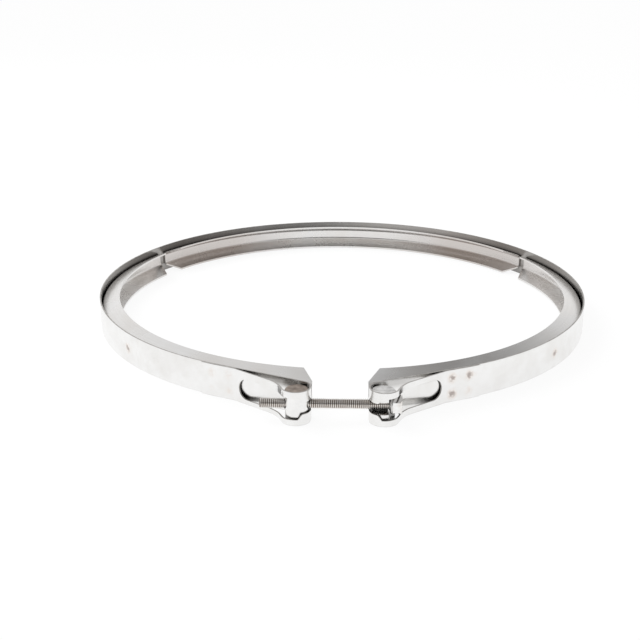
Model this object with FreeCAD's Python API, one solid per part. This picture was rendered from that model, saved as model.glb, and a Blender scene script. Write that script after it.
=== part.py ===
import FreeCAD, Part
import math
import os

# A V-band clamp: a rolled stainless strap with three V-section retainers welded inside it,
# pulled shut by one bolt that runs between two trunnions held in loops at the strap's ends.
# Millimetres. The ring's axis is Z, the origin is its centre at mid-width, and the closure
# faces -Y, with the barrel nut on the -X side and the bolt's head on the +X side.

Vec = FreeCAD.Vector

# ---- driving dimensions: strap -------------------------------------------------------
strap_width = 19.0
strap_thickness = 0.9
band_radius = 160.5           # outside of the strap, clamp as drawn
end_gap = 30.4                # clear distance between the two loops
loop_standoff = 13.9          # loop centre outside the band's outer face
loop_clearance = 0.85         # between a trunnion and the inside of its loop, on the radius
leaf_slope = 24.6             # degrees, of the straight leaf in which the band runs to each loop
loop_entry_radius = 5.0       # where the leaf turns up into the loop
tail_slope = 68.0             # degrees, of the tail as it leaves the loop
tail_start = 3.5              # its straight length there
tail_bend_radius = 20.0
tail_approach = 37.0          # degrees, of its second straight, which comes down on the leaf
lap_bend_radius = 10.0        # where it lies down
tail_lap = 19.8               # length of tail that lies on the leaf and the band
lap_gap = 0.12                # left between tail and band by the spot welds
spot_weld_diameter = 3.4
spot_weld_dimple = 0.15       # depth of the electrode's mark
spot_weld_height = 4.6        # rows of tail welds above and below mid-width
spot_weld_rows = (2.2, 12.8)  # distance of the weld columns from the start of the lap
slot_to_lap = 5.0             # slot's round end short of the lap
slot_neck_offset = 2.4        # slot narrows this far to the gap side of the loop centre
slot_neck_run = 1.3           # half length of the S-shaped narrowing
slot_head_clearance = 0.33    # slot around the bolt's head
slot_neck_clearance = 0.35    # slot neck around the bolt's shank

# ---- driving dimensions: retainers ----------------------------------------------------
retainer_count = 3
retainer_thickness = 1.2
retainer_half_angle = 20.0    # degrees, each flange from the plane of the ring
retainer_web_height = 8.8     # outside, between the sharp corners of the bends
retainer_depth = 11.8         # radial, web face to flange tip
retainer_inner_bend = 1.8
inner_bend_facets = 2         # flats that make up each bend, which keeps the rings light
outer_bend_facets = 2
retainer_to_strap = 0.1
retainer_front_angle = 5.5    # degrees, closure centre line to the nearest retainer end
retainer_joint_angle = 2.0    # degrees between neighbouring retainers
side_end_setback = 6.0        # flange tips cut back at the ends of the side retainers
side_end_bulge = 0.9          # how far that cut is rounded out
back_end_setback = 9.0        # the same at the ends of the back retainer
back_end_bulge = 0.3
retainer_weld_angle = 52.0    # degrees from the closure to the first retainer spot weld

# ---- driving dimensions: trunnions and bolt -------------------------------------------
trunnion_diameter = 12.7
trunnion_inset = 1.25         # trunnion ends below the strap's edges
trunnion_chamfer = 0.5
trunnion_lean_gap = 0.3       # trunnion to the gap-side wall of its loop
bolt_diameter = 5.9           # over the thread, a little under its nominal 6
bolt_length = 70.0            # under the head
bolt_point_chamfer = 0.7
head_across_flats = 10.0
head_height = 5.2
nut_running_clearance = 0.05
fork_slot_clearance = 0.55
fork_slot_depth = 0.9         # fork's bottom beyond the shank's clearance circle
fork_seat_offset = 2.7        # washer seat from the fork trunnion's axis
fork_seat_clearance = 0.45    # seat's half height over the head's corner
washer_radius = 5.25
washer_thickness = 1.5        # at the bore
washer_rim = 0.7
washer_crown = 0.35           # share of the dome's fall that lies inside its middle radius
washer_running_clearance = 0.1
washer_to_seat = 0.5
head_to_washer = 0.05

# ---- derived sizes --------------------------------------------------------------------
half_width = strap_width / 2
strap_mid = band_radius - strap_thickness / 2
tail_inner = band_radius + lap_gap
tail_mid = tail_inner + strap_thickness / 2
trunnion_radius = trunnion_diameter / 2
loop_inner = trunnion_radius + loop_clearance
loop_mid = loop_inner + strap_thickness / 2
loop_outer = loop_inner + strap_thickness
loop_x = end_gap / 2 + loop_outer
loop_y = -(band_radius + loop_standoff)
bolt_radius = bolt_diameter / 2
head_corner = head_across_flats / math.sqrt(3)
slot_half = head_corner + slot_head_clearance
neck_half = bolt_radius + slot_neck_clearance
trunnion_x = end_gap / 2 + strap_thickness + trunnion_lean_gap + trunnion_radius
trunnion_half = half_width - trunnion_inset
washer_x = trunnion_x + fork_seat_offset + washer_to_seat
head_x = washer_x + washer_thickness + head_to_washer
web_outer = band_radius - strap_thickness - retainer_to_strap
web_inner = web_outer - retainer_thickness
tip_radius = web_outer - retainer_depth


def polar(radius, degrees, z=0.0):
    """Point at an angle from the closure's centre line (-Y), positive towards +X."""
    a = math.radians(degrees)
    return Vec(radius * math.sin(a), -radius * math.cos(a), z)


def heading(degrees):
    """Unit vector in the plane of the ring, from +X towards +Y."""
    a = math.radians(degrees)
    return Vec(math.cos(a), math.sin(a), 0)


def left_of(direction):
    return Vec(-direction.y, direction.x, 0)


def corner_arc(before, point, after, radius):
    """Arc of this radius that rounds the corner at a point between its two neighbours."""
    back = (before - point).normalize()
    on = (after - point).normalize()
    half = back.getAngle(on) / 2
    reach = radius / math.tan(half)
    middle = point + (back + on).normalize() * (radius / math.sin(half) - radius)
    return Part.Arc(point + back * reach, middle, point + on * reach)


def rounded_wire(corners):
    """Closed outline through (point, radius) corners. A corner may add a third value, the
    number of flats that stand for its arc."""
    runs = []
    for i, (point, radius, *flats) in enumerate(corners):
        if radius == 0:
            runs.append([point])
            continue
        arc = corner_arc(corners[i - 1][0], point, corners[(i + 1) % len(corners)][0], radius)
        if flats:
            runs.append(arc.discretize(flats[0] + 1))
        else:
            runs.append([arc.StartPoint, arc.toShape(), arc.EndPoint])
    edges = []
    for i, run in enumerate(runs):
        if len(run) == 3 and isinstance(run[1], Part.Shape):
            edges.append(run[1])
        else:
            edges += [Part.makeLine(a, b) for a, b in zip(run, run[1:])]
        edges.append(Part.makeLine(run[-1], runs[(i + 1) % len(runs)][0]))
    return Part.Wire(edges)


def mirrored(shape):
    """The same shape on the other side of the closure's centre line."""
    return shape.mirror(Vec(0, 0, 0), Vec(1, 0, 0))


# ---- strap ----------------------------------------------------------------------------
# The strip is bent step by step: ("run", length) or ("bend", mid radius, degrees), positive
# to the left. The steps below go from the back of the ring to the end of the right tail.
def strip_steps():
    inward = heading(180 + leaf_slope)
    leaf_start = polar(strap_mid, leaf_slope)
    wall_x = loop_x - loop_mid
    corner = leaf_start + inward * ((wall_x - leaf_start.x) / inward.x)
    turn = 90 - leaf_slope
    trim = loop_entry_radius * math.tan(math.radians(turn / 2))
    # the second straight of the tail ends where a bend of lap_bend_radius just meets the lap
    out, down = heading(tail_slope), heading(tail_approach)
    bend_start = Vec(loop_x, loop_y, 0) - left_of(out) * loop_mid + out * tail_start
    bend_end = bend_start + (left_of(down) - left_of(out)) * tail_bend_radius
    normal = polar(1, leaf_slope)
    short = tail_mid + lap_bend_radius - (bend_end - left_of(down) * lap_bend_radius).dot(normal)
    approach = short / down.dot(normal)
    lap_start = bend_end + down * approach - left_of(down) * lap_bend_radius
    lap_start -= normal * lap_bend_radius
    return [
        ("bend", strap_mid, -(180 - leaf_slope)),
        ("run", (corner - leaf_start).Length - trim),
        ("bend", loop_entry_radius, turn),
        ("run", corner.y - loop_y - trim),
        ("bend", loop_mid, 90 + tail_slope),
        ("run", tail_start),
        ("bend", tail_bend_radius, -(tail_slope - tail_approach)),
        ("run", approach),
        ("bend", lap_bend_radius, -(tail_approach - leaf_slope)),
    ], lap_start


def lap_place(lap_start, run):
    """Point of the tail's mid line this far along the lap, and the angle of its normal."""
    straight = -lap_start.dot(heading(leaf_slope))
    if run < straight:
        return lap_start + heading(leaf_slope) * run, leaf_slope
    angle = leaf_slope + math.degrees((run - straight) / tail_mid)
    return polar(tail_mid, angle), angle


def strip_face(steps, start, direction, near, far):
    """Face between two offsets from the strip's mid line, positive to the left of travel."""
    sides = {near: [], far: []}
    point, angle = start, direction
    for step in steps:
        if step[0] == "run":
            end = point + heading(angle) * step[1]
            for offset, edges in sides.items():
                shift = left_of(heading(angle)) * offset
                edges.append(Part.makeLine(point + shift, end + shift))
            point = end
            continue
        sense = math.copysign(1, step[2])
        centre = point + left_of(heading(angle)) * (sense * step[1])
        for offset, edges in sides.items():
            arms = [
                left_of(heading(angle + turned)) * -(sense * step[1] - offset)
                for turned in (0, step[2] / 2, step[2])
            ]
            edges.append(Part.Arc(*[centre + arm for arm in arms]).toShape())
        angle += step[2]
        point = centre - left_of(heading(angle)) * (sense * step[1])
    first, last = sides[near], sides[far]
    caps = [
        Part.makeLine(first[0].firstVertex().Point, last[0].firstVertex().Point),
        Part.makeLine(first[-1].lastVertex().Point, last[-1].lastVertex().Point),
    ]
    return Part.Face(Part.Wire(Part.__sortEdges__(first + last + caps)))


def slab(face, half_height):
    """Face of the plane of the ring, thickened evenly above and below it."""
    return face.translated(Vec(0, 0, -half_height)).extrude(Vec(0, 0, 2 * half_height))


def slot_cutter():
    """Slot of the right-hand loop and tail: neck at the gap side, wide with a round end."""
    over = strap_thickness / 2 + 0.05
    # wide part, from the front of the loop along the tail, and its round end
    steps = strip_steps()[0]
    straight = steps[7][1] - (slot_to_lap - lap_bend_radius * math.radians(tail_approach - leaf_slope))
    tail = [("bend", loop_mid, tail_slope), steps[5], steps[6], ("run", straight - slot_half)]
    wide = slab(strip_face(tail, Vec(loop_x, loop_y - loop_mid, 0), 0, -over, over), slot_half)
    out, down = heading(tail_slope), heading(tail_approach)
    centre = Vec(loop_x, loop_y, 0) - left_of(out) * loop_mid + out * tail_start
    centre += (left_of(down) - left_of(out)) * tail_bend_radius + down * (straight - slot_half)
    centre += left_of(down) * over
    round_end = Part.makeCylinder(slot_half, 2 * over, centre, left_of(down) * -1)
    # front of the loop, seen from outside: neck, S-shaped shoulders and the wide part
    neck_x = loop_x - slot_neck_offset
    step = (slot_half - neck_half) / 2
    outline = [
        (Vec(loop_x - loop_outer - 1, 0, -neck_half), 0),
        (Vec(loop_x - loop_outer - 1, 0, neck_half), 0),
        (Vec(neck_x - slot_neck_run, 0, neck_half), step),
        (Vec(neck_x + slot_neck_run, 0, slot_half), step),
        (Vec(loop_x + 1, 0, slot_half), 0),
        (Vec(loop_x + 1, 0, -slot_half), 0),
        (Vec(neck_x + slot_neck_run, 0, -slot_half), step),
        (Vec(neck_x - slot_neck_run, 0, -neck_half), step),
    ]
    front = Part.Face(rounded_wire(outline)).translated(Vec(0, loop_y - loop_outer - 1, 0))
    front = front.extrude(Vec(0, loop_outer + 1, 0))
    neck_end = Part.makeCylinder(neck_half, 4, Vec(loop_x - loop_outer - 1, loop_y, 0), Vec(1, 0, 0))
    return wide.fuse([round_end, front, neck_end])


def make_strap():
    half, lap_start = strip_steps()
    straight = -lap_start.dot(heading(leaf_slope))
    lap_angle = math.degrees((tail_lap - straight) / tail_mid)
    half += [("run", straight), ("bend", tail_mid, lap_angle)]
    end, end_angle = lap_place(lap_start, tail_lap)
    band = ("bend", strap_mid, 2 * half[0][2])
    whole = half[:0:-1] + [band] + half[1:]
    edge = strap_thickness / 2
    start = Vec(-end.x, end.y, 0)
    strap = slab(strip_face(whole, start, -end_angle, -edge, edge), half_width)
    cutter = slot_cutter()
    strap = strap.cut([cutter, mirrored(cutter)])
    # spot welds: eight-sided nuggets join tail and band, electrodes leave shallow marks
    radius = spot_weld_diameter / 2
    nuggets, marks = [], []
    for run in spot_weld_rows:
        point, angle = lap_place(lap_start, run)
        for z in (-spot_weld_height, spot_weld_height):
            out, along, height = polar(1, angle), heading(angle), Vec(0, 0, z)
            base = point - out * (strap_thickness + lap_gap) + height
            rim = [base + along * (radius * math.cos(math.pi * i / 4))
                   + Vec(0, 0, radius * math.sin(math.pi * i / 4)) for i in range(9)]
            nugget = Part.Face(Part.makePolygon(rim)).extrude(out * (strap_thickness + lap_gap))
            nuggets += [nugget, mirrored(nugget)]
            mark = weld_mark(point + out * edge + height, out)
            marks += [mark, mirrored(mark)]
    spacing = (180 - retainer_weld_angle) / 2
    for i in range(3):
        angle = retainer_weld_angle + i * spacing
        mark = weld_mark(polar(band_radius, angle), polar(1, angle))
        marks += [mark] if i == 2 else [mark, mirrored(mark)]
    return strap.fuse(nuggets).cut(marks).removeSplitter()


def weld_mark(surface, out):
    """Ball that leaves a round dimple of spot_weld_dimple at a point of a face."""
    radius = spot_weld_diameter / 2
    ball = (radius ** 2 + spot_weld_dimple ** 2) / (2 * spot_weld_dimple)
    return Part.makeSphere(ball, surface + out * (ball - spot_weld_dimple))


# ---- retainers ------------------------------------------------------------------------
def make_retainer(start, span, setback, bulge):
    """One V-section retainer from a start angle, with its flange ends cut back."""
    slope = math.tan(math.radians(retainer_half_angle))
    wall = retainer_thickness / math.cos(math.radians(retainer_half_angle))
    corner = retainer_web_height / 2
    tip = corner + retainer_depth * slope
    inner = corner - wall + retainer_thickness * slope
    outer_bend = retainer_inner_bend + retainer_thickness
    profile = [
        (Vec(tip_radius, 0, tip), 0),
        (Vec(web_outer, 0, corner), outer_bend, outer_bend_facets),
        (Vec(web_outer, 0, -corner), outer_bend, outer_bend_facets),
        (Vec(tip_radius, 0, -tip), 0),
        (Vec(tip_radius, 0, wall - tip), 0),
        (Vec(web_inner, 0, -inner), retainer_inner_bend, inner_bend_facets),
        (Vec(web_inner, 0, inner), retainer_inner_bend, inner_bend_facets),
        (Vec(tip_radius, 0, tip - wall), 0),
    ]
    ring = Part.Face(rounded_wire(profile)).revolve(Vec(0, 0, 0), Vec(0, 0, 1), span)
    # a wedge takes each end of the flanges away, from nothing at the web to the full setback
    root = web_inner - retainer_inner_bend
    past = tip_radius - retainer_thickness
    cut = Part.Arc(Vec(root, 0, 0), Vec((root + tip_radius) / 2, setback / 2 - bulge, 0),
                   Vec(tip_radius, setback, 0)).toShape()
    rest = [Vec(tip_radius, setback, 0), Vec(past, setback, 0), Vec(past, -1, 0), Vec(root, -1, 0),
            Vec(root, 0, 0)]
    sides = [Part.makeLine(a, b) for a, b in zip(rest, rest[1:])]
    wedge = slab(Part.Face(Part.Wire([cut] + sides)), half_width)
    far = wedge.mirror(Vec(0, 0, 0), Vec(0, 1, 0))
    far.rotate(Vec(0, 0, 0), Vec(0, 0, 1), span)
    piece = ring.cut([wedge, far])
    piece.rotate(Vec(0, 0, 0), Vec(0, 0, 1), start - 90)
    return piece


# ---- trunnions, washer and bolt -------------------------------------------------------
def trunnion(x):
    body = Part.makeCylinder(trunnion_radius, 2 * trunnion_half, Vec(x, loop_y, -trunnion_half))
    rims = [e for e in body.Edges if len(e.Vertexes) == 1]
    return body.makeChamfer(trunnion_chamfer, rims)


def make_barrel_nut():
    bore = bolt_radius + nut_running_clearance
    start = Vec(-trunnion_x - trunnion_diameter, loop_y, 0)
    return trunnion(-trunnion_x).cut(Part.makeCylinder(bore, 2 * trunnion_diameter, start, Vec(1, 0, 0)))


def make_fork():
    """Trunnion with a U slot open to the outside, and a flat seat for the washer."""
    half = bolt_radius + fork_slot_clearance
    bottom = loop_y + fork_slot_depth
    start = trunnion_x - trunnion_diameter
    slot = Part.makeBox(2 * trunnion_diameter, trunnion_diameter, 2 * half,
                        Vec(start, bottom - trunnion_diameter, -half))
    slot = slot.fuse(Part.makeCylinder(half, 2 * trunnion_diameter, Vec(start, bottom, 0), Vec(1, 0, 0)))
    seat_half = head_corner + fork_seat_clearance
    seat = Part.makeBox(trunnion_radius, 2 * trunnion_diameter, 2 * seat_half,
                        Vec(trunnion_x + fork_seat_offset, loop_y - trunnion_diameter, -seat_half))
    return trunnion(trunnion_x).cut([slot, seat])


def make_washer():
    """Round washer, flat under the bolt's head and domed where it bears on the fork."""
    bore = bolt_radius + washer_running_clearance
    back = washer_x + washer_thickness
    sag = washer_thickness - washer_rim
    middle = (washer_radius + bore) / 2
    profile = [
        Vec(washer_x, bore, 0),
        Vec(washer_x + washer_crown * sag, middle, 0),
        Vec(washer_x + sag, washer_radius, 0),
        Vec(back, washer_radius, 0),
        Vec(back, bore, 0),
        Vec(washer_x, bore, 0),
    ]
    ring = Part.Face(Part.makePolygon(profile)).revolve(Vec(0, 0, 0), Vec(1, 0, 0), 360)
    return ring.translated(Vec(0, loop_y, 0))


def make_bolt():
    """Hex-headed bolt; its outer head face and its point are chamfered."""
    end = head_x - bolt_length
    shank = Part.makeCylinder(bolt_radius, bolt_length, Vec(end, loop_y, 0), Vec(1, 0, 0))
    point = [e for e in shank.Edges if len(e.Vertexes) == 1 and e.CenterOfMass.x < head_x - 1]
    shank = shank.makeChamfer(bolt_point_chamfer, point)
    corners = [Vec(head_x, loop_y + head_corner * math.sin(math.radians(60 * i)),
                   head_corner * math.cos(math.radians(60 * i))) for i in range(7)]
    head = Part.Face(Part.makePolygon(corners)).extrude(Vec(head_height, 0, 0))
    # a 30 degree cone trims the hexagon's corners at the outer face
    top = head_across_flats / 2 * 0.95
    slope = math.tan(math.radians(30))
    cone = Part.makeCone(top + head_height / slope, top, head_height, Vec(head_x, loop_y, 0), Vec(1, 0, 0))
    return shank.fuse(head.common(cone)).removeSplitter()


span = (360 - 2 * retainer_front_angle - (retainer_count - 1) * retainer_joint_angle) / retainer_count
pieces = {
    "strap": make_strap(),
    "v_retainer_right": make_retainer(retainer_front_angle, span, side_end_setback, side_end_bulge),
    "v_retainer_back": make_retainer(180 - span / 2, span, back_end_setback, back_end_bulge),
    "v_retainer_left": make_retainer(-retainer_front_angle - span, span, side_end_setback,
                                     side_end_bulge),
    "barrel_nut": make_barrel_nut(),
    "fork_trunnion": make_fork(),
    "domed_washer": make_washer(),
    "hex_bolt": make_bolt(),
}

os.makedirs("parts", exist_ok=True)
for name, shape in pieces.items():
    solid = shape.Solids[0] if len(shape.Solids) == 1 else shape
    solid.exportStep("parts/" + name + ".step")
    box = solid.BoundBox
    print(name, len(shape.Solids), "solid", solid.isValid(), round(solid.Volume, 1), "mm3",
          [round(v, 2) for v in (box.XMin, box.XMax, box.YMin, box.YMax, box.ZMin, box.ZMax)])
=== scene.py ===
import math

import bmesh
import bpy
from mathutils import Matrix, Vector


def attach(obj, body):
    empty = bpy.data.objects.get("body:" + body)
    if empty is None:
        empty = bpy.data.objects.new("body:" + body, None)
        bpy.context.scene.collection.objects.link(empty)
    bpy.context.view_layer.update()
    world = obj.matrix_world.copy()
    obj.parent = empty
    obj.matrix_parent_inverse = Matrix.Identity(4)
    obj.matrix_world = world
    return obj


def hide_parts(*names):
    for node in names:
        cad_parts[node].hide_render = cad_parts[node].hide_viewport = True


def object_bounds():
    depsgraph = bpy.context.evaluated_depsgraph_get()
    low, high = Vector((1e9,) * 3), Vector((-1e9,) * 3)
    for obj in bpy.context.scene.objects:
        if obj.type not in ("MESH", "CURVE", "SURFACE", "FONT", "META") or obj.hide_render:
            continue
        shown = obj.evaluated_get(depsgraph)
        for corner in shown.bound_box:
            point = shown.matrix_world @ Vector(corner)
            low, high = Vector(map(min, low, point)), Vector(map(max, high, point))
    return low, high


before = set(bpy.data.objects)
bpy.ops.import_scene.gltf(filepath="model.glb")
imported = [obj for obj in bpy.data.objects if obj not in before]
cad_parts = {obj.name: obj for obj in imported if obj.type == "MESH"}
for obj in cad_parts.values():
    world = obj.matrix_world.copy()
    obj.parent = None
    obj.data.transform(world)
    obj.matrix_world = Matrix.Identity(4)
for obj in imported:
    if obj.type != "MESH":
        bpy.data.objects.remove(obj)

cad_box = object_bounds()

# ---- studio ---------------------------------------------------------------------------
# The clamp lies flat on a white table in a white room. The ceiling is dimmer than the walls,
# as over a product table, and dimmest to the right, which gives the upward faces their greys.
table_top = cad_box[0].z
white, paper_white = (1.0, 1.0, 1.0, 1.0), (0.93, 0.93, 0.93, 1.0)
ceiling_left, ceiling_right, front_dark = 0.8, 0.3, 0.93
table_glow, table_glow_share = 1.06, 0.85


def node(tree, kind, inputs=(), **settings):
    """Shader node with its settings, and its inputs given as values or as links."""
    made = tree.nodes.new("ShaderNode" + kind)
    for name, value in settings.items():
        setattr(made, name, value)
    for slot, value in dict(inputs).items():
        if isinstance(value, bpy.types.NodeSocket):
            tree.links.new(value, made.inputs[slot])
        else:
            made.inputs[slot].default_value = value
    return made


def ranged(tree, value, low, high, to_low=0.0, to_high=1.0, **settings):
    """The value from one range carried over to another, and held at its ends."""
    return node(tree, "MapRange", {"Value": value, "From Min": low, "From Max": high, "To Min": to_low,
                                   "To Max": to_high}, **settings).outputs["Result"]


room = bpy.data.worlds.new("white_room")
bpy.context.scene.world = room
room.use_nodes = True
tree = room.node_tree
tree.nodes.clear()
look = node(tree, "SeparateXYZ", {0: node(tree, "TexCoord").outputs["Generated"]}).outputs
across = ranged(tree, look["X"], -0.2, 0.25, ceiling_left, ceiling_right)
ceiling = ranged(tree, look["Z"], 0.2, 0.8, 1.0, across, interpolation_type="SMOOTHSTEP")
# the side of the room from which one looks is dark above the table's edge
front = ranged(tree, look["Y"], -0.55, -0.9, 0.0, front_dark, interpolation_type="SMOOTHSTEP")
rest = node(tree, "Math", {0: 1.0, 1: front}, operation="SUBTRACT").outputs[0]
above = ranged(tree, look["Z"], 0.0, 0.2, 1.0, rest, interpolation_type="SMOOTHSTEP")
light = node(tree, "Math", {0: ceiling, 1: above}, operation="MULTIPLY").outputs[0]
walls = node(tree, "Background", {"Color": white, "Strength": light})
backdrop = node(tree, "Background", {"Color": white})
seen = node(tree, "LightPath").outputs["Is Camera Ray"]
choose = node(tree, "MixShader", {"Fac": seen, 1: walls.outputs[0], 2: backdrop.outputs[0]})
node(tree, "OutputWorld", {"Surface": choose.outputs[0]})

bpy.ops.mesh.primitive_plane_add(size=8.0, location=(0, 0, table_top))
table = bpy.context.object
table.name = "white_table"
paper = bpy.data.materials.new("white_table")
paper.use_nodes = True
tree = paper.node_tree
tree.nodes.clear()
matt = node(tree, "BsdfDiffuse", {"Color": paper_white})
glow = node(tree, "Emission", {"Color": white, "Strength": table_glow})
ray = node(tree, "LightPath").outputs
seen = node(tree, "Math", {0: ray["Is Camera Ray"], 1: ray["Is Glossy Ray"]}, operation="MAXIMUM").outputs[0]
share = node(tree, "Math", {0: seen, 1: table_glow_share}, operation="MULTIPLY").outputs[0]
choose = node(tree, "MixShader", {"Fac": share, 1: matt.outputs[0], 2: glow.outputs[0]})
node(tree, "OutputMaterial", {"Surface": choose.outputs[0]})
table.data.materials.append(paper)

lamp = bpy.data.lights.new("softbox", "AREA")
lamp.shape, lamp.size, lamp.size_y, lamp.energy = "RECTANGLE", 1.0, 0.7, 6.0
softbox = bpy.data.objects.new("softbox", lamp)
softbox.location = (-0.75, 0.35, 1.0)
softbox.rotation_euler = (-Vector(softbox.location)).to_track_quat("-Z", "Y").to_euler()
softbox.visible_glossy = False
bpy.context.collection.objects.link(softbox)

# the camera stands in front of the closure, a little above the ring, and looks just to the
# left of and below the ring's centre
camera_place = Vector((0, -0.6823, 0.2335))
camera_target = Vector((-0.0142, -0.0056, -0.0153))
camera_roll = math.radians(0.18)
lens = bpy.data.cameras.new("camera")
lens.lens, lens.sensor_width = 59.6, 36.0
camera = bpy.data.objects.new("camera", lens)
camera.location = camera_place
aim = (camera_target - camera_place).to_track_quat("-Z", "Y").to_matrix()
camera.rotation_euler = (aim @ Matrix.Rotation(camera_roll, 3, "Z")).to_euler()
bpy.context.collection.objects.link(camera)
bpy.context.scene.camera = camera
bpy.context.scene.view_settings.view_transform = "Standard"

# ---- strap ----------------------------------------------------------------------------
# One strip of polished stainless steel, slotted flat at both ends, rolled to a ring and
# folded outside a loop at each end. Each end runs back as a tail, which lies down on the
# band and is held there by four spot welds.
strap_width, strap_thickness = 0.019, 0.0009
band_radius = 0.1605
band_mid = band_radius - strap_thickness / 2
lap_gap = 0.00012
tail_mid = band_radius + lap_gap + strap_thickness / 2
loop_mid = 0.00765
loop_x, loop_y = 0.0233, -0.1744
leaf_slope, tail_slope, tail_approach = 24.6, 68.0, 37.0
loop_entry, tail_bend, lap_bend = 0.005, 0.020, 0.010
tail_start, tail_lap, slot_to_lap = 0.0035, 0.0198, 0.005
slot_half, neck_half = 0.0061, 0.0033
neck_start, neck_stop = -0.0038, -0.0011
slot_tip = 0.0004                          # half of the blunt end of each round end
slot_lift = {-1: -0.0008, 1: 0.0003}      # the slots weren't punched quite in the middle
strap_rows = (0, 0.45, 0.9, 1.3, 1.7, 2.3, 2.9, 3.3, 3.7, 4.1, 4.6, 5.1, 5.5, 5.9, 6.3, 7.4, 8.6, 9.5)
weld_radius, weld_depth = 0.0017, 0.00016
lap_weld_runs, lap_weld_height = (0.0022, 0.0128), 0.0046
ring_weld_angles = (0, 64, 128)           # from the back of the ring, on both sides
stain_reach, tail_stain = 0.0026, {-1: 0.35, 1: 1.0}     # welding heat, on the left and right tail
front_ring_stain, back_ring_stain, faint_share = 1.0, 0.3, 0.4
# painted shade on the strap, as shares of a dark colour: behind the left and right tail, inside the ring and
# more towards its sides, and inside the loops and under the tails
wedge_shade = {-1: 0.95, 1: 0.5}           # behind the left and right tail
inside_shade, side_shade_more, tail_shade = 0.5, 0.42, 0.3


def heading(degrees):
    return Vector((math.cos(math.radians(degrees)), math.sin(math.radians(degrees)), 0))


def left_of(direction):
    return Vector((-direction.y, direction.x, 0))


def strip_bends():
    """The strip from the back of the ring to the right tail's end: (length, turn in degrees)."""
    arc = lambda radius, turn: (radius * abs(math.radians(turn)), turn)
    normal = heading(leaf_slope - 90)
    leaf_start = normal * band_mid
    inward = heading(180 + leaf_slope)
    corner = leaf_start + inward * ((loop_x - loop_mid - leaf_start.x) / inward.x)
    trim = loop_entry * math.tan(math.radians(90 - leaf_slope) / 2)
    out, down = heading(tail_slope), heading(tail_approach)
    bend_end = Vector((loop_x, loop_y, 0)) - left_of(out) * loop_mid + out * tail_start
    bend_end += (left_of(down) - left_of(out)) * tail_bend
    short = tail_mid + lap_bend - (bend_end - left_of(down) * lap_bend).dot(normal)
    approach = short / down.dot(normal)
    lap_start = bend_end + down * approach - left_of(down) * lap_bend - normal * lap_bend
    straight = -lap_start.dot(heading(leaf_slope))
    return [
        arc(band_mid, leaf_slope - 180),
        ((corner - leaf_start).length - trim, 0),
        arc(loop_entry, 90 - leaf_slope),
        (corner.y - loop_y - trim, 0),
        arc(loop_mid, 90 + tail_slope),
        (tail_start, 0),
        arc(tail_bend, tail_approach - tail_slope),
        (approach, 0),
        arc(lap_bend, leaf_slope - tail_approach),
        (straight, 0),
        (tail_lap - straight, math.degrees((tail_lap - straight) / tail_mid)),
    ]


def strip_place(distance):
    """Point of the strip's mid line, this far from the back of the ring, and its heading."""
    point, angle = Vector((0, band_mid, 0)), 0.0
    for length, turn in bends:
        step = min(distance, length)
        turned = turn * step / length
        if turn:
            radius = length / math.radians(turn)
            point = point + (left_of(heading(angle)) - left_of(heading(angle + turned))) * radius
        else:
            point = point + heading(angle) * step
        angle += turned
        distance -= step
        if distance <= 0:
            break
    return point, angle


bends = strip_bends()
loop_front = sum(length for length, turn in bends[:4]) + loop_mid * math.radians(90)
lap_begins = sum(length for length, turn in bends[:9])
neck_centre = -loop_mid * math.radians(90)
wide_centre = lap_begins - loop_front - slot_to_lap - slot_half
# welds: distance from the back, height, and which face the electrode pressed on
welds = [(lap_begins + run, z, -1) for run in lap_weld_runs for z in (-lap_weld_height, lap_weld_height)]
welds += [(band_mid * math.radians(angle), 0, 1) for angle in ring_weld_angles]


def slot_half_height(u):
    """Half height of the slot this far along the strip from the front of the loop."""
    if u <= neck_centre:
        half = math.sqrt(max(neck_half ** 2 - (u - neck_centre) ** 2, 0))
    elif u >= wide_centre:
        half = math.sqrt(max(slot_half ** 2 - (u - wide_centre) ** 2, 0))
    else:
        t = min(max((u - neck_start) / (neck_stop - neck_start), 0), 1)
        half = neck_half + (slot_half - neck_half) * t * t * (3 - 2 * t)
    return max(half, slot_tip)


def strip_stations():
    """Distances along the half strip where its mesh has a column of points."""
    marks, at = {0.0, sum(length for length, turn in bends)}, 0.0
    for length, turn in bends:
        count = max(round(length / 0.0032), round(abs(turn) / (1.2 if length > 0.1 else 3.5)), 1)
        marks |= {at + length * i / count for i in range(count)}
        at += length
    for centre, reach in ((neck_centre, -neck_half), (wide_centre, slot_half)):
        marks = {m for m in marks if not 0 <= (m - loop_front - centre) / reach < 1.1}
        marks |= {loop_front + centre + reach * math.sin(math.radians(90 * i / 10)) for i in range(11)}
    span = wide_centre - neck_centre
    marks |= {loop_front + neck_centre + span * i / 64 for i in range(65)}
    marks |= {loop_front + (neck_start + neck_stop) / 2 + 0.0003 * i for i in range(-6, 7)}
    for middle, height, face in welds:
        marks |= {max(middle + weld_radius * i / 5, 0) for i in range(-7, 8)}
    ordered = sorted(marks)
    return [m for i, m in enumerate(ordered) if i == 0 or m - ordered[i - 1] > 0.00003]


def pressed_in(distance, height, face):
    """Depth of the electrodes' marks at a place on one face of the strip."""
    depth = 0.0
    for middle, z, marked in welds:
        share = ((distance - middle) ** 2 + (height - z) ** 2) / weld_radius ** 2
        if marked == face and share < 1:
            depth += weld_depth * (1 - share) ** 2
    return depth


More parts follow.
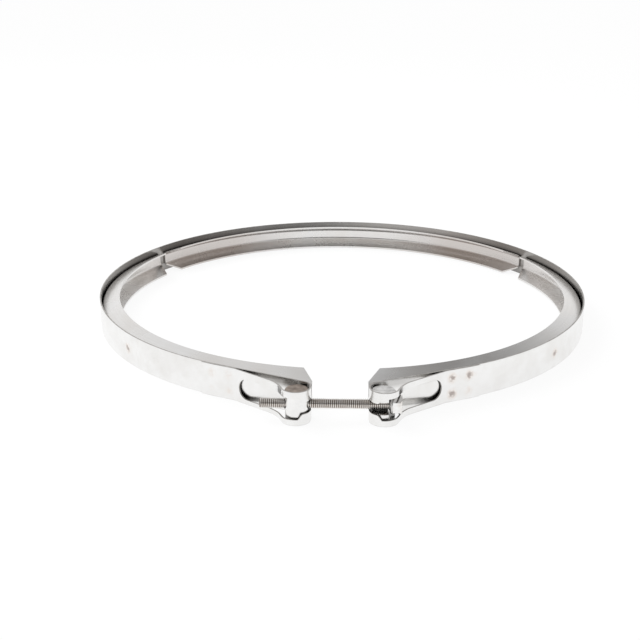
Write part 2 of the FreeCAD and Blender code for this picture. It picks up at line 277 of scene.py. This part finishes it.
def strap_mesh():
    """The strip as a closed skin: both faces, and the rims at its edges, slots and ends."""
    bm = bmesh.new()
    half = strip_stations()
    columns, painted_dark = [], []
    leaf_begins = sum(length for length, turn in bends[:1])
    loop_begins = sum(length for length, turn in bends[:4])
    for side, distance in [(-1, d) for d in reversed(half[1:])] + [(1, d) for d in half]:
        point, angle = strip_place(distance)
        left = left_of(heading(angle))
        u = distance - loop_front
        gap = slot_half_height(u)
        middle = slot_lift[side] * min(max(u / 0.02, 0), 1)
        column = {}
        for way in (1, -1):
            inner = middle + way * gap
            for j, row in enumerate(strap_rows):
                z = inner + (way * strap_width / 2 - inner) * row / strap_rows[-1]
                column[way, j] = []
                for face in (1, -1):
                    spot = point + left * face * (strap_thickness / 2 - pressed_in(distance, z, face))
                    column[way, j].append(bm.verts.new((side * spot.x, spot.y, z)))
                    # painted shade for each point: behind the tail, inside the ring, and inside the loop and
                    # under the tail
                    if distance < loop_begins and face > 0:
                        towards = min(max((distance - leaf_begins) / (loop_begins - leaf_begins), 0), 1)
                        above = min(max((z - 0.0035) / 0.003, 0), 1)
                        painted_dark.append(wedge_shade[side] * min(towards * 1.6, 1) * above)
                    elif distance < loop_begins:
                        painted_dark.append(inside_shade + side_shade_more * min(max((distance - 0.09) / 0.05, 0), 1))
                    else:
                        painted_dark.append(tail_shade if face > 0 else 0)
        columns.append((column, neck_centre - neck_half < u < wide_centre + slot_half - 1e-6))
    last = len(strap_rows) - 1
    for (a, open_a), (b, open_b) in zip(columns, columns[1:]):
        for way in (1, -1):
            for j in range(last):
                for face in (0, 1):
                    bm.faces.new((a[way, j][face], b[way, j][face], b[way, j + 1][face], a[way, j + 1][face]))
            for j in [last] + ([0] if open_a or open_b else []):
                rim = bm.faces.new((a[way, j][0], b[way, j][0], b[way, j][1], a[way, j][1]))
                rim.material_index = 1
        if not open_a and not open_b:
            for face in (0, 1):
                bm.faces.new((a[1, 0][face], b[1, 0][face], b[-1, 0][face], a[-1, 0][face]))
        elif open_a != open_b:
            shut = b if open_a else a
            bm.faces.new((*shut[1, 0], *reversed(shut[-1, 0]))).material_index = 1
    for column in (columns[0][0], columns[-1][0]):
        bm.faces.new((*column[1, 0], *reversed(column[-1, 0])))
        for way in (1, -1):
            for j in range(last):
                bm.faces.new((*column[way, j], *reversed(column[way, j + 1])))
    bmesh.ops.recalc_face_normals(bm, faces=bm.faces)
    mesh = bpy.data.meshes.new("strap_strip")
    bm.to_mesh(mesh)
    # how far the welding heat has stained each place, more on the right tail than on the left
    spots = []
    for side in (-1, 1):
        for middle, z, face in welds:
            point, angle = strip_place(middle)
            point = Vector((side * point.x, point.y, z))
            ring_stain = front_ring_stain if middle > 0.3 else back_ring_stain
            strong = tail_stain[side] if face < 0 else ring_stain
            # the lower weld at the tail's end is the faintest
            spots.append((point, strong * (1.0 if middle - lap_begins < 0.004 or z > 0 else faint_share)))
    heat = mesh.attributes.new("weld_stain", "FLOAT", "POINT")
    heat.data.foreach_set("value", [
        max(strong * math.exp(-((vertex.co - point).length / stain_reach) ** 2) for point, strong in spots)
        for vertex in mesh.vertices])
    # painted shade: darker inside the ring, behind the tails towards the loops, and inside the loops and
    # under the tails
    painted_shade = mesh.attributes.new("painted_shade", "FLOAT", "POINT")
    painted_shade.data.foreach_set("value", painted_dark)
    return mesh


def add_piece(name, mesh, material, bevel, angle=40):
    """Object with smooth faces and slightly rounded edges."""
    piece = bpy.data.objects.new(name, mesh)
    bpy.context.collection.objects.link(piece)
    for face in mesh.polygons:
        face.use_smooth = True
    mesh.materials.append(material)
    edge = piece.modifiers.new("edges", "BEVEL")
    edge.width, edge.segments, edge.limit_method = bevel, 2, "ANGLE"
    edge.angle_limit = math.radians(angle)
    flat = piece.modifiers.new("flat_faces", "WEIGHTED_NORMAL")
    flat.weight, flat.keep_sharp = 90, False
    return piece


def steel(name, colour, roughness):
    """Bare metal: its material, node tree, shader, and the piece's own coordinates."""
    made = bpy.data.materials.new(name)
    made.use_nodes = True
    tree = made.node_tree
    shader = tree.nodes["Principled BSDF"]
    shader.inputs["Metallic"].default_value = 1.0
    shader.inputs["Base Color"].default_value = (*colour, 1.0)
    shader.inputs["Roughness"].default_value = roughness
    here = tree.nodes.new("ShaderNodeTexCoord").outputs["Object"]
    return made, tree, shader, here


def mixed(tree, share, first, second):
    """Colour between two colours or sockets, in a share given by a socket."""
    whole = lambda colour: colour if isinstance(colour, bpy.types.NodeSocket) else (*colour, 1.0)
    return node(tree, "MixRGB", {"Fac": share, "Color1": whole(first), "Color2": whole(second)}).outputs[0]


def cloudy(tree, here, scale, detail=5.0, rough=0.6):
    return node(tree, "TexNoise", {"Vector": here, "Scale": scale, "Detail": detail,
                                   "Roughness": rough}).outputs["Fac"]


def grain(tree, here, scale, stretch):
    """Fine lines that follow the ring, as rolling and brushing leave them."""
    axes = node(tree, "SeparateXYZ", {0: here})
    flat = node(tree, "CombineXYZ", {"X": axes.outputs["X"], "Y": axes.outputs["Y"]})
    radius = node(tree, "VectorMath", {0: flat.outputs[0]}, operation="LENGTH").outputs["Value"]
    angle = node(tree, "Math", {0: axes.outputs["X"], 1: axes.outputs["Y"]}, operation="ARCTAN2").outputs[0]
    along = node(tree, "Math", {0: angle, 1: stretch}, operation="MULTIPLY").outputs[0]
    lines = node(tree, "CombineXYZ", {"X": radius, "Y": along, "Z": axes.outputs["Z"]})
    return cloudy(tree, lines.outputs[0], scale, 3.0)


def in_corners(tree, colour, painted_dark, reach, deep=0.06, clear=0.5):
    """The colour in the open, and painted shadow, a dark colour, where surfaces come close together."""
    near = node(tree, "AmbientOcclusion", {"Distance": reach}, samples=8)
    return mixed(tree, ranged(tree, near.outputs["AO"], deep, clear), painted_dark, colour)


def bumpy(tree, shader, height, strength, depth):
    bump = node(tree, "Bump", {"Height": height, "Strength": strength, "Distance": depth})
    tree.links.new(bump.outputs["Normal"], shader.inputs["Normal"])


polished, tree, shader, here = steel("polished_strap", (0.88, 0.875, 0.87), 0.16)
cloud = cloudy(tree, here, 60.0)
tone = mixed(tree, ranged(tree, cloud, 0.35, 0.62), (0.83, 0.82, 0.805), (0.91, 0.908, 0.902))
# heat tint round the welds, straw outside and grey brown in the middle
heat = node(tree, "Attribute", attribute_name="weld_stain").outputs["Fac"]
patchy = node(tree, "Math", {0: heat, 1: ranged(tree, cloudy(tree, here, 420.0), 0.38, 0.56, 0.4, 1.2)},
              operation="MULTIPLY").outputs[0]
tone = mixed(tree, ranged(tree, patchy, 0.05, 0.45, 0.0, 0.6), tone, (0.8, 0.72, 0.66))
tone = mixed(tree, ranged(tree, patchy, 0.4, 0.95, 0.0, 0.8), tone, (0.36, 0.31, 0.29))
# small pits, sparse
pit = node(tree, "TexVoronoi", {"Vector": here, "Scale": 75.0}).outputs["Distance"]
sparse = ranged(tree, cloudy(tree, here, 23.0), 0.52, 0.6)
pits = node(tree, "Math", {0: ranged(tree, pit, 0.035, 0.02), 1: sparse}, operation="MULTIPLY").outputs[0]
tone = mixed(tree, pits, tone, (0.2, 0.19, 0.18))
# painted shade: the strap is painted darker where its painted shade attribute says, and the painted shadow in
# corners reaches further there
painted_shade = node(tree, "Attribute", attribute_name="painted_shade").outputs["Fac"]
tone = mixed(tree, ranged(tree, painted_shade, 0, 1, 0.0, 0.9), tone, (0.25, 0.235, 0.22))
clear = ranged(tree, painted_shade, 0, 0.4, 0.45, 0.85)
tree.links.new(in_corners(tree, tone, (0.06, 0.055, 0.05), 0.004, 0.06, clear), shader.inputs["Base Color"])
tree.links.new(ranged(tree, cloud, 0.3, 0.7, 0.12, 0.26), shader.inputs["Roughness"])
bumpy(tree, shader, cloudy(tree, here, 130.0, 3.0), 0.12, 0.0004)

edged, tree, shader, here = steel("slit_edge", (0.5, 0.48, 0.46), 0.42)
cloud = cloudy(tree, here, 350.0)
tone = mixed(tree, ranged(tree, cloud, 0.35, 0.65), (0.36, 0.34, 0.32), (0.58, 0.56, 0.54))
tree.links.new(in_corners(tree, tone, (0.05, 0.045, 0.04), 0.004, 0.15, 0.75), shader.inputs["Base Color"])
bumpy(tree, shader, cloudy(tree, here, 900.0), 0.3, 0.0001)

strap = add_piece("strap_band", strap_mesh(), polished, 0.0001)
strap.data.materials.append(edged)
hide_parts("strap")
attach(strap, "band")

# ---- retainers ------------------------------------------------------------------------
# Three V-section segments of satin stainless sheet, roll formed, that line the ring and are
# spot welded to the strap through their webs. Their flange ends are cut back.
sheet = 0.0012
web_outer, tip_radius = 0.1595, 0.1477
flange_angle, web_corner, inner_bend = math.radians(20), 0.0044, 0.0018
front_angle, joint_angle = 5.5, 2.0
retainer_span = (360 - 2 * front_angle - 2 * joint_angle) / 3


def rounded_corner(before, corner, after, radius, steps):
    """Points on the arc that rounds a corner of a section."""
    to_before, to_after = (before - corner).normalized(), (after - corner).normalized()
    half = to_before.angle(to_after) / 2
    centre = corner + (to_before + to_after).normalized() * radius / math.sin(half)
    first = corner + to_before * radius / math.tan(half) - centre
    final = corner + to_after * radius / math.tan(half) - centre
    turn = first.angle_signed(final)
    return [centre + Matrix.Rotation(-turn * i / steps, 2) @ first for i in range(steps + 1)]


def retainer_section():
    """Closed outline of the V section, as (radius, height) points."""
    slope = math.tan(flange_angle)
    wall = sheet / math.cos(flange_angle)
    tip = web_corner + (web_outer - tip_radius) * slope
    inner = web_corner - wall + sheet * slope
    corners = [((tip_radius, tip), 0.0001), ((web_outer, web_corner), inner_bend + sheet),
               ((web_outer, -web_corner), inner_bend + sheet), ((tip_radius, -tip), 0.0001),
               ((tip_radius, wall - tip), 0.0001), ((web_outer - sheet, -inner), inner_bend),
               ((web_outer - sheet, inner), inner_bend), ((tip_radius, tip - wall), 0.0001)]
    points = [Vector(place) for place, radius in corners]
    outline = []
    for i, (place, radius) in enumerate(corners):
        steps = 2 if radius < 0.001 else 7
        outline += rounded_corner(points[i - 1], points[i], points[(i + 1) % 8], radius, steps)
    return outline


def retainer_mesh(name, start, setback, bulge):
    """One segment; the ends of its flanges are cut back along a slightly rounded line."""
    root = web_outer - sheet - inner_bend
    section = retainer_section()
    stations = 96
    bm = bmesh.new()
    rings = []
    for i in range(stations + 1):
        # stations crowd towards the ends
        share = 0.5 - 0.5 * math.cos(math.pi * i / stations)
        share = 0.35 * share + 0.65 * i / stations
        ring = []
        for radius, height in section:
            t = min(max((root - radius) / (root - tip_radius), 0), 1)
            cut = math.degrees((setback * t - 4 * bulge * t * (1 - t)) / radius)
            angle = math.radians(start + cut + (retainer_span - 2 * cut) * share)
            ring.append(bm.verts.new((radius * math.sin(angle), -radius * math.cos(angle), height)))
        rings.append(ring)
    count = len(section)
    for a, b in zip(rings, rings[1:]):
        for j in range(count):
            bm.faces.new((a[j], a[(j + 1) % count], b[(j + 1) % count], b[j]))
    for ring in (rings[0], rings[-1]):
        for j in range(count // 2 - 1):
            bm.faces.new((ring[j], ring[j + 1], ring[count - 2 - j], ring[count - 1 - j]))
    bmesh.ops.recalc_face_normals(bm, faces=bm.faces)
    mesh = bpy.data.meshes.new(name)
    bm.to_mesh(mesh)
    return mesh


satin, tree, shader, here = steel("satin_retainer", (0.78, 0.765, 0.75), 0.3)
cloud = cloudy(tree, here, 26.0, 4.0, 0.55)
lines = grain(tree, here, 900.0, 0.004)
tone = mixed(tree, ranged(tree, cloud, 0.38, 0.66), (0.78, 0.76, 0.74), (0.86, 0.855, 0.85))
tone = mixed(tree, ranged(tree, lines, 0.35, 0.65, 0.1, 0.0), tone, (0.5, 0.48, 0.46))
# painted shade: the back half is painted darker and browner towards the joints, as its reflection dims there
axes = node(tree, "SeparateXYZ", {0: here})
aside = node(tree, "Math", {0: axes.outputs["X"]}, operation="ABSOLUTE").outputs[0]
aside = ranged(tree, aside, 0.035, 0.085)
behind = ranged(tree, axes.outputs["Y"], 0.04, 0.1)
painted_side_shade = node(tree, "Math", {0: aside, 1: behind}, operation="MULTIPLY").outputs[0]
tone = mixed(tree, ranged(tree, painted_side_shade, 0, 1, 0.0, 0.6), tone, (0.52, 0.47, 0.44))
tree.links.new(in_corners(tree, tone, (0.05, 0.045, 0.042), 0.005, 0.06, 0.48), shader.inputs["Base Color"])
tree.links.new(ranged(tree, cloud, 0.3, 0.7, 0.2, 0.32), shader.inputs["Roughness"])
bumpy(tree, shader, lines, 0.02, 0.0001)

for place, start, setback, bulge in (("right", front_angle, 0.0075, 0.0009),
                                     ("back", 180 - retainer_span / 2, 0.006, 0.0003),
                                     ("left", -front_angle - retainer_span, 0.006, 0.0014)):
    segment = add_piece("retainer_" + place, retainer_mesh("retainer_" + place, start, setback, bulge),
                        satin, 0.00012, 50)
    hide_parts("v_retainer_" + place)
    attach(segment, "band")

# ---- barrel nut -----------------------------------------------------------------------
# A turned steel bar, 12.7 mm across, that stands in the left loop. It is tapped right through
# its middle for the bolt, and turns in the loop as the bolt swings.
trunnion_radius, trunnion_half, trunnion_chamfer = 0.00635, 0.00825, 0.0005
barrel_x, barrel_bore = -0.02275, 0.003


def turned(name, profile, centre, axis, steps=64):
    """Solid of revolution about an axis: the profile gives (distance along it, radius)."""
    axis = Vector(axis)
    side = Vector((0, 0, 1)) if abs(axis.z) < 0.5 else Vector((1, 0, 0))
    across = axis.cross(side)
    bm = bmesh.new()
    rings = []
    for along, radius in profile:
        if radius == 0:
            rings.append([bm.verts.new(Vector(centre) + axis * along)] * steps)
            continue
        angles = [2 * math.pi * i / steps for i in range(steps)]
        rings.append([bm.verts.new(Vector(centre) + axis * along
                                   + (side * math.cos(a) + across * math.sin(a)) * radius) for a in angles])
    closed = profile[0][1] > 0
    pairs = list(zip(rings, rings[1:])) + ([(rings[-1], rings[0])] if closed else [])
    for a, b in pairs:
        for i in range(steps):
            ring = [a[i], a[(i + 1) % steps], b[(i + 1) % steps], b[i]]
            bm.faces.new(list(dict.fromkeys(ring)))
    bmesh.ops.recalc_face_normals(bm, faces=bm.faces)
    mesh = bpy.data.meshes.new(name)
    bm.to_mesh(mesh)
    return mesh


def block(name, low, high):
    """Box between two corners, to cut with."""
    bm = bmesh.new()
    bmesh.ops.create_cube(bm, size=1.0)
    low, high = Vector(low), Vector(high)
    for vertex in bm.verts:
        vertex.co = Vector([l + (h - l) * (c + 0.5) for l, h, c in zip(low, high, vertex.co)])
    mesh = bpy.data.meshes.new(name)
    bm.to_mesh(mesh)
    return mesh


def worked(name, mesh, tools, operation="DIFFERENCE"):
    """The mesh with each tool's volume cut away, or with only the shared volume left."""
    body = bpy.data.objects.new(name + "_blank", mesh)
    bpy.context.collection.objects.link(body)
    cutters = []
    for tool in tools:
        cutter = bpy.data.objects.new(name + "_tool", tool)
        bpy.context.collection.objects.link(cutter)
        cut = body.modifiers.new("cut", "BOOLEAN")
        cut.object, cut.operation, cut.solver = cutter, operation, "EXACT"
        cutters.append(cutter)
    shaped = body.evaluated_get(bpy.context.evaluated_depsgraph_get())
    result = bpy.data.meshes.new_from_object(shaped)
    result.name = name
    for spare in [body] + cutters:
        bpy.data.objects.remove(spare)
    return result


def trunnion_blank(name, x):
    """Turned bar with chamfered ends and the small pip where it was parted off."""
    chamfer, top = trunnion_chamfer, trunnion_half
    profile = [(top, 0), (top, 0.0006), (top - 0.00008, 0.0009), (top, 0.0012),
               (top, trunnion_radius - chamfer), (top - chamfer, trunnion_radius)]
    profile += [(-z, radius) for z, radius in reversed(profile)]
    return turned(name, profile, (x, loop_y, 0), (0, 0, 1), 72)


def turned_steel(name, side, ends, ends_dark):
    """Bright turned steel whose end faces have tarnished."""
    made, tree, shader, here = steel(name, side, 0.2)
    height = node(tree, "SeparateXYZ", {0: here}).outputs["Z"]
    high = node(tree, "Math", {0: height}, operation="ABSOLUTE").outputs[0]
    stain = mixed(tree, ranged(tree, cloudy(tree, here, 330.0), 0.36, 0.62), ends_dark, ends)
    worn = mixed(tree, ranged(tree, cloudy(tree, here, 150.0), 0.35, 0.65), [0.93 * c for c in side], side)
    end = ranged(tree, high, trunnion_half - 0.0005, trunnion_half - 0.0002)
    tone = mixed(tree, end, worn, stain)
    tree.links.new(in_corners(tree, tone, (0.04, 0.035, 0.03), 0.004, 0.05, 0.4), shader.inputs["Base Color"])
    rough = node(tree, "Math", {0: ranged(tree, end, 0, 1, 0.0, 0.2), 1: ranged(
        tree, cloudy(tree, here, 240.0), 0.3, 0.7, 0.12, 0.28)}, operation="ADD").outputs[0]
    tree.links.new(rough, shader.inputs["Roughness"])
    bumpy(tree, shader, cloudy(tree, here, 700.0), 0.15, 0.0001)
    return made


tarnished = turned_steel("tarnished_barrel", (0.93, 0.925, 0.915), (0.42, 0.35, 0.3), (0.23, 0.185, 0.155))
bore = turned("bore", [(-0.01, 0), (-0.01, barrel_bore), (0.01, barrel_bore), (0.01, 0)],
              (barrel_x, loop_y, 0), (1, 0, 0), 40)
barrel = add_piece("barrel_nut_turned", worked("barrel_nut_turned", trunnion_blank("bar", barrel_x), [bore]),
                   tarnished, 0.00008, 30)
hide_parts("barrel_nut")
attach(barrel, "barrel_nut")

# ---- fork trunnion ----------------------------------------------------------------------
# The same bar in the right loop, milled with a U slot that is open to the front, so that the
# bolt swings into it, and with a flat on which the washer seats.
fork_x = 0.02275
fork_slot_half, fork_slot_bottom = 0.0035, -0.1735
seat_x, seat_half = 0.02545, 0.006224
slot_tools = [
    turned("mill", [(-0.01, 0), (-0.01, fork_slot_half), (0.01, fork_slot_half), (0.01, 0)],
           (fork_x, fork_slot_bottom, 0), (1, 0, 0), 40),
    block("slot", (fork_x - 0.01, fork_slot_bottom - 0.012, -fork_slot_half),
          (fork_x + 0.01, fork_slot_bottom, fork_slot_half)),
    block("seat", (seat_x, loop_y - 0.01, -seat_half), (seat_x + 0.01, loop_y + 0.01, seat_half)),
]
milled = turned_steel("milled_fork", (0.9, 0.895, 0.885), (0.86, 0.85, 0.84), (0.52, 0.51, 0.5))
fork = add_piece("fork_milled", worked("fork_milled", trunnion_blank("bar", fork_x), slot_tools),
                 milled, 0.00008, 30)
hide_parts("fork_trunnion")
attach(fork, "fork")

# ---- domed washer -----------------------------------------------------------------------
# A turned steel washer between the bolt's head and the fork, flat under the head and domed
# where it bears on the fork's seat.
washer_x, washer_bore, washer_rim_radius = 0.02595, 0.00305, 0.00525
profile = [(0.0000, washer_bore), (0.00028, 0.00415), (0.00055, 0.0048), (0.0008, 0.0052),
           (0.0009, washer_rim_radius), (0.0014, washer_rim_radius), (0.0015, 0.00515), (0.0015, washer_bore)]
bright, tree, shader, here = steel("bright_washer", (0.85, 0.84, 0.83), 0.25)
cloud = cloudy(tree, here, 380.0)
tone = mixed(tree, ranged(tree, cloud, 0.35, 0.65), (0.72, 0.7, 0.68), (0.88, 0.875, 0.865))
tree.links.new(in_corners(tree, tone, (0.05, 0.045, 0.04), 0.002, 0.03, 0.22), shader.inputs["Base Color"])
tree.links.new(ranged(tree, cloud, 0.3, 0.7, 0.3, 0.45), shader.inputs["Roughness"])
bumpy(tree, shader, cloudy(tree, here, 1200.0), 0.12, 0.00005)
washer = add_piece("washer_domed", turned("washer_domed", profile, (washer_x, loop_y, 0), (1, 0, 0), 64),
                   bright, 0.00006, 50)
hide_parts("domed_washer")
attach(washer, "washer")

# ---- hex bolt ---------------------------------------------------------------------------
# An M6 bolt of stainless steel, threaded to its head by rolling. It spins in the washer as it
# screws into the barrel nut.
pitch, thread_major, thread_minor = 0.001, 0.00295, 0.00236
head_x, head_height, head_flats = 0.0275, 0.0052, 0.010
bolt_end = head_x - 0.070


def thread_mesh(name, start, stop, steps=24):
    """One long helical ridge, closed at both ends beyond start and stop."""
    ridge = [(0.0, thread_minor), (0.25, thread_minor), (0.5625, thread_major), (0.6875, thread_major)]
    turns = math.ceil((stop - start) / pitch) + 2
    bm = bmesh.new()
    grid = []
    for i in range(turns * steps + 1):
        angle = 2 * math.pi * i / steps
        grid.append([bm.verts.new((start - pitch + pitch * (i / steps + share),
                                   loop_y + radius * math.cos(angle), radius * math.sin(angle)))
                     for share, radius in ridge])
    for i in range(turns * steps):
        rows, following = grid[i], grid[i + 1]
        far = grid[i + steps] if i + steps < len(grid) else None
        far_next = grid[i + steps + 1] if i + steps + 1 < len(grid) else None
        for m in range(3):
            bm.faces.new((rows[m], following[m], following[m + 1], rows[m + 1]))
        if far and far_next:
            bm.faces.new((rows[3], following[3], far_next[0], far[0]))
    for x in (start - 2 * pitch, stop + 2 * pitch):
        middle = bm.verts.new((x, loop_y, 0))
        near = [e for e in bm.edges if e.is_boundary
                and (e.verts[0].co.x < (start + stop) / 2) == (x < start)]
        for edge in near:
            bm.faces.new((*edge.verts, middle))
    bmesh.ops.recalc_face_normals(bm, faces=bm.faces)
    mesh = bpy.data.meshes.new(name)
    bm.to_mesh(mesh)
    return mesh


def hexagon(name, low, high, across_flats):
    """Six-sided bar along X with a corner at the top."""
    corner = across_flats / math.sqrt(3)
    bm = bmesh.new()
    ends = [[bm.verts.new((x, loop_y + corner * math.sin(math.radians(60 * i)),
                           corner * math.cos(math.radians(60 * i)))) for i in range(6)] for x in (low, high)]
    for i in range(6):
        bm.faces.new((ends[0][i], ends[0][(i + 1) % 6], ends[1][(i + 1) % 6], ends[1][i]))
    for ring in ends:
        bm.faces.new(ring)
    bmesh.ops.recalc_face_normals(bm, faces=bm.faces)
    mesh = bpy.data.meshes.new(name)
    bm.to_mesh(mesh)
    return mesh


pointed = turned("pointed", [(0, 0), (0, thread_major - 0.0007), (0.0007, thread_major + 0.00002),
                             (0.0702, thread_major + 0.00002), (0.0702, 0)],
                 (bolt_end, loop_y, 0), (1, 0, 0), 48)
shank = worked("shank", thread_mesh("thread", bolt_end, head_x), [pointed], "INTERSECT")
chamfered = turned("chamfered", [(-0.0001, 0), (-0.0001, 0.0062), (0.0037, 0.0062),
                                 (head_height, 0.00475 * 0.97), (head_height, 0)],
                   (head_x, loop_y, 0), (1, 0, 0), 72)
head = worked("head", hexagon("hexagon", head_x, head_x + head_height, head_flats), [chamfered], "INTERSECT")
whole = bmesh.new()
whole.from_mesh(shank)
whole.from_mesh(head)
bolt_mesh = bpy.data.meshes.new("bolt_threaded")
whole.to_mesh(bolt_mesh)
rolled, tree, shader, here = steel("rolled_bolt", (0.86, 0.84, 0.82), 0.22)
axes = node(tree, "SeparateXYZ", {0: here})
aside = node(tree, "Math", {0: axes.outputs["Y"], 1: loop_y}, operation="SUBTRACT").outputs[0]
arm = node(tree, "CombineXYZ", {"Y": aside, "Z": axes.outputs["Z"]}).outputs[0]
radius = node(tree, "VectorMath", {0: arm}, operation="LENGTH").outputs["Value"]
cloud = cloudy(tree, here, 260.0)
tone = mixed(tree, ranged(tree, cloud, 0.35, 0.65), (0.8, 0.77, 0.74), (0.92, 0.915, 0.905))
# the roots of the thread are painted dark brown, as shade between the crests, and the crests keep the bright
# colour; the painted shade goes by distance from the axis alone, so the middle of the head's end has it too
root = ranged(tree, radius, thread_minor, thread_minor + 0.00025)
tone = mixed(tree, root, (0.2, 0.155, 0.125), tone)
tree.links.new(in_corners(tree, tone, (0.04, 0.035, 0.03), 0.003, 0.02, 0.22), shader.inputs["Base Color"])
tree.links.new(ranged(tree, cloud, 0.3, 0.7, 0.1, 0.2), shader.inputs["Roughness"])
bumpy(tree, shader, cloudy(tree, here, 1500.0), 0.12, 0.00005)
bolt = add_piece("bolt_threaded", bolt_mesh, rolled, 0.00004, 50)
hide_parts("hex_bolt")
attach(bolt, "bolt")
